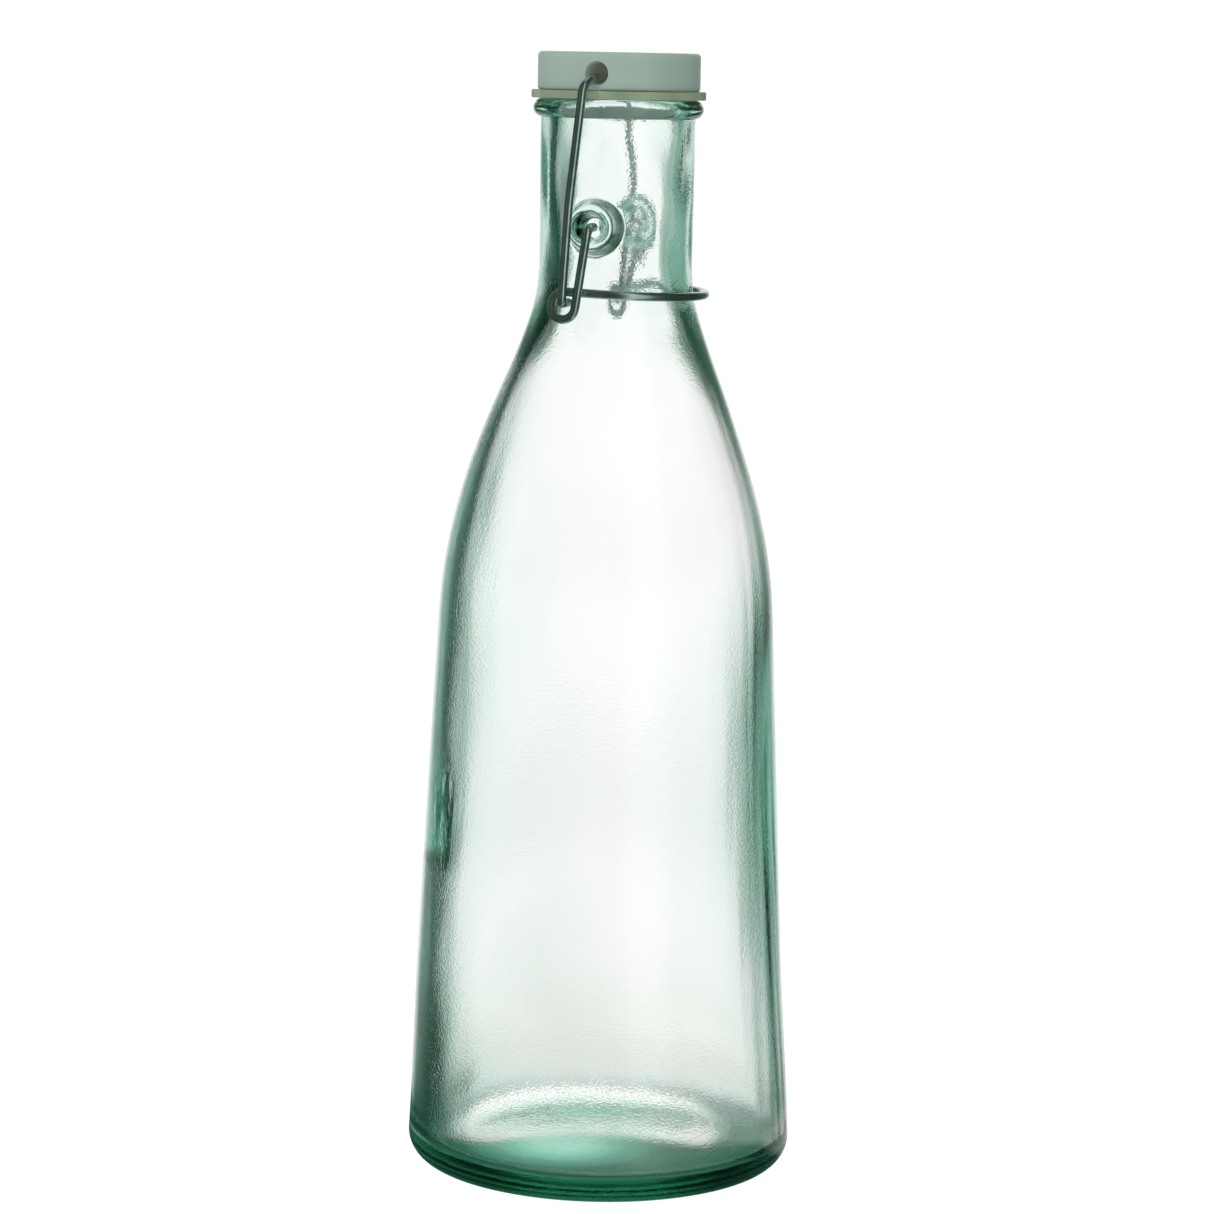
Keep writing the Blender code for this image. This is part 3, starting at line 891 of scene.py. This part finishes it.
def lever_line():
    """The lever wire's centre line on the -Y side.

    It runs from the socket's end along the arm and round the eye, then along the thumb loop to its middle.
    """
    end_gap = 1.1 * MM
    end = Vector((0, -(BOSS_FACE - SOCKET_DEPTH + end_gap), LEVER_PIVOT.z))
    elbow = Vector((0, -ARM_OUT, LEVER_PIVOT.z))
    eye = EYE_CENTRE
    reach = Vector((eye.x - elbow.x, eye.z - elbow.z))
    slant = math.asin(EYE_RADIUS / reach.length)
    touch_angle = math.atan2(reach.y, reach.x) + slant + math.pi / 2
    touch = eye + EYE_RADIUS * Vector((math.cos(touch_angle), 0, math.sin(touch_angle)))
    touch.y = -ARM_OUT
    line = [end, *bend(end, elbow, touch, BEND_RADIUS)]
    turn = touch_angle + math.tau - math.pi / 2
    eye_steps, loop_steps = 40, 36
    for i in range(eye_steps + 1):
        share = i / eye_steps
        angle = touch_angle - turn * share
        out = ARM_OUT + (HANDLE_OUT - ARM_OUT) * smoothstep(0, 1, share)
        line.append(eye + Vector((EYE_RADIUS * math.cos(angle), -out, EYE_RADIUS * math.sin(angle))))
    for i in range(loop_steps + 1):
        angle = math.pi / 2 * i / loop_steps
        x = HANDLE_OUT * math.sin(angle)
        fall = HANDLE_DROP * (x - eye.x)
        line.append(Vector((x, -HANDLE_OUT * math.cos(angle), eye.z + EYE_RADIUS - fall)))
    return line


def bail_line():
    """The bail wire's centre line on the -Y side: hook, side, and bend into the bore to its middle."""
    hook_end = Vector((BAIL_PIVOT.x, -22.2 * MM, BAIL_PIVOT.z))
    hook_corner = Vector((BAIL_PIVOT.x, -BAIL_OUT, BAIL_PIVOT.z))
    knee = Vector((-4.4 * MM, -BAIL_OUT, 256 * MM))
    shoulder = Vector((-2.4 * MM, -25.0 * MM, 286 * MM))
    bore_mouth = Vector((STOPPER_PIVOT.x, -21.2 * MM, STOPPER_PIVOT.z))
    middle = Vector((STOPPER_PIVOT.x, 0, STOPPER_PIVOT.z))
    return [
        hook_end,
        *bend(hook_end, hook_corner, knee, BEND_RADIUS),
        *bend(hook_corner, knee, shoulder, KNEE_RADIUS, steps=8),
        *bend(knee, shoulder, bore_mouth, SHOULDER_BEND_RADIUS),
        *bend(shoulder, bore_mouth, middle, BEND_RADIUS),
        middle,
    ]


def resampled(line, spacing):
    """The same line as points at even spacing."""
    points = np.array([tuple(p) for p in line])
    lengths = np.linalg.norm(np.diff(points, axis=0), axis=1)
    same_point = 1e-7
    points = points[np.concatenate(([True], lengths > same_point))]
    along = np.concatenate(([0], np.cumsum(np.linalg.norm(np.diff(points, axis=0), axis=1))))
    places = np.linspace(0, along[-1], int(along[-1] / spacing) + 1)
    return [Vector([float(np.interp(at, along, points[:, i])) for i in range(3)]) for at in places]


def make_wire(name, line, finish, body, node):
    """A round wire swept along line, with domed ends. Its UVs run along and round it and guide the finish."""
    points = resampled(line, WIRE_SPACING)
    last = len(points) - 1
    tangents = [(points[min(i + 1, last)] - points[max(i - 1, 0)]).normalized() for i in range(len(points))]
    across = tangents[0].orthogonal().normalized()
    stations = []
    for point, tangent in zip(points, tangents):
        across = (across - tangent * across.dot(tangent)).normalized()
        stations.append((point, tangent, across.copy()))
    profile = [(stations[0], share, shift * DOME_HEIGHT) for share, shift in DOME]
    profile += [(station, 1.0, 0.0) for station in stations[1:-1]]
    profile += [(stations[-1], share, -shift * DOME_HEIGHT) for share, shift in reversed(DOME)]
    rings, lengths = [], []
    angles = full_turn(WIRE_SIDES)
    length = 0.0
    previous = None
    for (point, tangent, side), share, shift in profile:
        up = tangent.cross(side)
        centre = point + tangent * shift
        length += (centre - previous).length if previous else 0.0
        previous = centre
        lengths.append(length)
        radius = WIRE_RADIUS * share
        rings.append([centre + radius * (side * math.cos(a) + up * math.sin(a)) for a in angles])
    shape = bmesh.new()
    ring_surface(shape, rings, closed=False)
    coordinates = shape.loops.layers.uv.new("along_wire")
    shape.verts.index_update()
    for face in shape.faces:
        for loop in face.loops:
            # The two fans' middles come after the last ring, and take its length
            station, spoke = divmod(loop.vert.index, WIRE_SIDES)
            along = lengths[min(station, len(lengths) - 1)] / MM
            loop[coordinates].uv = (along * LINES_ALONG, spoke / WIRE_SIDES * LINES_ROUND)
    wire = add_object(name, mesh_from(name, shape, finish))
    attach(wire, body)
    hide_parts(node)


# ---------------------------------------------------------------- stage, light and camera
def make_floor():
    """A floor that is white to the camera. To what sees it through the glass, it is lit as its tables say.

    Beyond FLOOR_REACH the glass sees the studio through it.
    """
    made = bpy.data.materials.new("white_floor")
    made.use_nodes = True
    nodes, links = made.node_tree.nodes, made.node_tree.links
    nodes.clear()
    place = as_camera_sees(nodes, links, object_place(nodes))
    apart = nodes.new("ShaderNodeSeparateXYZ")
    links.new(place, apart.inputs["Vector"])
    noisy = noise_node(nodes, links, place, scale=900, detail=2)
    speckle = range_node(nodes, links, noisy, low=-SPECKLE, high=SPECKLE)

    def share_of(reach, middle=(0, 0)):
        """1 at middle, falling to 0 at reach from it."""
        return nearness_node(nodes, links, place, (*middle, 0), far=reach)

    def speckled_ramp(reach, middle, stops):
        share = math_node(nodes, links, "ADD", share_of(reach, middle), speckle)
        return ramp_node(nodes, links, share, stops)

    def ramp_along(axis, stops):
        """A ramp from FLOOR_DEPTH on one side of the bottle to FLOOR_DEPTH on the other."""
        share = range_node(nodes, links, apart.outputs[axis], start=-FLOOR_DEPTH, end=FLOOR_DEPTH)
        return ramp_node(nodes, links, share, stops)

    def times(first, second):
        return colour_math_node(nodes, links, "MULTIPLY", first, second)

    def brighter(first, second):
        return colour_math_node(nodes, links, "MAXIMUM", first, second)

    pool = speckled_ramp(POOL_RADIUS, POOL_MIDDLE, POOL)
    arc_light = speckled_ramp(ARC_RADIUS, ARC_MIDDLE, ARC)
    shadow = speckled_ramp(SHADOW_RADIUS, SHADOW_MIDDLE, SHADOW)
    # The grey around, with its painted shadow of the foot's ring
    around = ramp_node(nodes, links, share_of(FLOOR_REACH), AROUND_WITH_FOOT_SHADOW)
    kept = times(ramp_along("X", FLOOR_ACROSS), ramp_along("Y", FLOOR_BACK))
    lit = times(brighter(arc_light, around), times(shadow, kept))
    near = nodes.new("ShaderNodeEmission")
    links.new(brighter(lit, pool), near.inputs["Color"])
    cloud = noise_node(nodes, links, place, scale=5, detail=2, stretch=(1, 0.35, 1))
    far = nodes.new("ShaderNodeBsdfTransparent")
    tint = ramp_node(nodes, links, share_of(FLOOR_END), FLOOR_FAR)
    links.new(times(tint, ramp_node(nodes, links, cloud, FLOOR_CLOUD)), far.inputs["Color"])
    inside = ramp_node(nodes, links, share_of(FLOOR_REACH), FLOOR_EDGE)
    through_glass = mix_node(nodes, links, inside, far.outputs["BSDF"], near.outputs["Emission"])
    white = nodes.new("ShaderNodeEmission")
    white.inputs["Color"].default_value = (1, 1, 1, 1)
    white.inputs["Strength"].default_value = WHITE_STRENGTH
    to_camera = nodes.new("ShaderNodeLightPath").outputs["Is Camera Ray"]
    seen = mix_node(nodes, links, to_camera, through_glass, white.outputs["Emission"])
    links.new(seen, nodes.new("ShaderNodeOutputMaterial").inputs["Surface"])
    shape = bmesh.new()
    bmesh.ops.create_circle(shape, cap_ends=True, segments=64, radius=FLOOR_RADIUS)
    floor = add_object("floor", mesh_from("floor", shape, made))
    floor.location.z = -FLOOR_GAP


def make_world():
    """White to the camera. What glass bends, what shines and what is matt each see walls of their own."""
    world = bpy.data.worlds.new("studio")
    bpy.context.scene.world = world
    world.use_nodes = True
    nodes, links = world.node_tree.nodes, world.node_tree.links
    nodes.clear()
    direction = as_camera_sees(nodes, links, nodes.new("ShaderNodeTexCoord").outputs["Generated"])
    parts = nodes.new("ShaderNodeSeparateXYZ")
    links.new(direction, parts.inputs["Vector"])
    # The bearing from straight behind the bottle, clockwise from above, as 0 to 1 for -180 to 180 degrees
    bearing = math_node(nodes, links, "ARCTAN2", parts.outputs["X"], parts.outputs["Y"])
    bearing = range_node(nodes, links, bearing, start=-math.pi, end=math.pi)
    # The sine of the elevation, as 0 to 1 for -1 to 1
    height = range_node(nodes, links, parts.outputs["Z"], start=-1, end=1)
    path = nodes.new("ShaderNodeLightPath")

    def background(colour, strength=1.0):
        node = nodes.new("ShaderNodeBackground")
        node.inputs["Strength"].default_value = strength
        if isinstance(colour, tuple):
            node.inputs["Color"].default_value = colour
        else:
            links.new(colour, node.inputs["Color"])
        return node.outputs["Background"]

    def around(stops):
        """A colour that goes round the compass by (bearing in degrees, colour)."""
        return ramp_node(nodes, links, bearing, [(0.5 + degrees / 360, tint) for degrees, tint in stops])

    def upwards(stops):
        """A colour that goes up by (sine of the elevation, colour)."""
        return ramp_node(nodes, links, height, [((sine + 1) / 2, tint) for sine, tint in stops])

    bent = colour_math_node(nodes, links, "MULTIPLY", around(GLASS_WALLS), upwards(GLASS_HEIGHTS))
    studio = background(around(MATT_WALLS))
    for ray, there in (
        ("Is Glossy Ray", background(around(SHINE_WALLS))),
        ("Is Transmission Ray", background(bent)),
        ("Is Camera Ray", background((1, 1, 1, 1), WHITE_STRENGTH)),
    ):
        studio = mix_node(nodes, links, path.outputs[ray], studio, there)
    links.new(studio, nodes.new("ShaderNodeOutputWorld").inputs["Surface"])


def make_camera():
    data = bpy.data.cameras.new("camera")
    data.lens = CAMERA_LENS
    data.sensor_width = CAMERA_SENSOR
    data.shift_x = CAMERA_SHIFT
    data.clip_start = CAMERA_CLIP
    camera = add_object("camera", data)
    flat = Vector((-math.sin(CAMERA_AZIMUTH), math.cos(CAMERA_AZIMUTH), 0))
    ahead = flat * math.cos(CAMERA_PITCH) - Vector((0, 0, math.sin(CAMERA_PITCH)))
    level_up = VIEW_RIGHT.cross(ahead)
    right = VIEW_RIGHT * math.cos(CAMERA_ROLL) + level_up * math.sin(CAMERA_ROLL)
    up = level_up * math.cos(CAMERA_ROLL) - VIEW_RIGHT * math.sin(CAMERA_ROLL)
    place = Matrix((right, up, -ahead)).transposed().to_4x4()
    place.translation = -flat * CAMERA_DISTANCE + Vector((0, 0, CAMERA_HEIGHT))
    camera.matrix_world = place
    bpy.context.scene.camera = camera


def set_view_and_bounces():
    scene = bpy.context.scene
    scene.view_settings.view_transform = "Standard"
    scene.cycles.max_bounces = 24
    scene.cycles.transmission_bounces = 24
    scene.cycles.glossy_bounces = 8


# ---------------------------------------------------------------- the object
steel = steel_material()
make_bottle(glass_material())
make_stopper(plastic_material())
make_gasket(rubber_material())
make_wire("bail", mirrored(bail_line()), steel, "bail", "bail_wire")
make_wire("lever", mirrored(lever_line()), steel, "lever", "lever_wire")
make_floor()
make_world()
make_camera()
set_view_and_bounces()
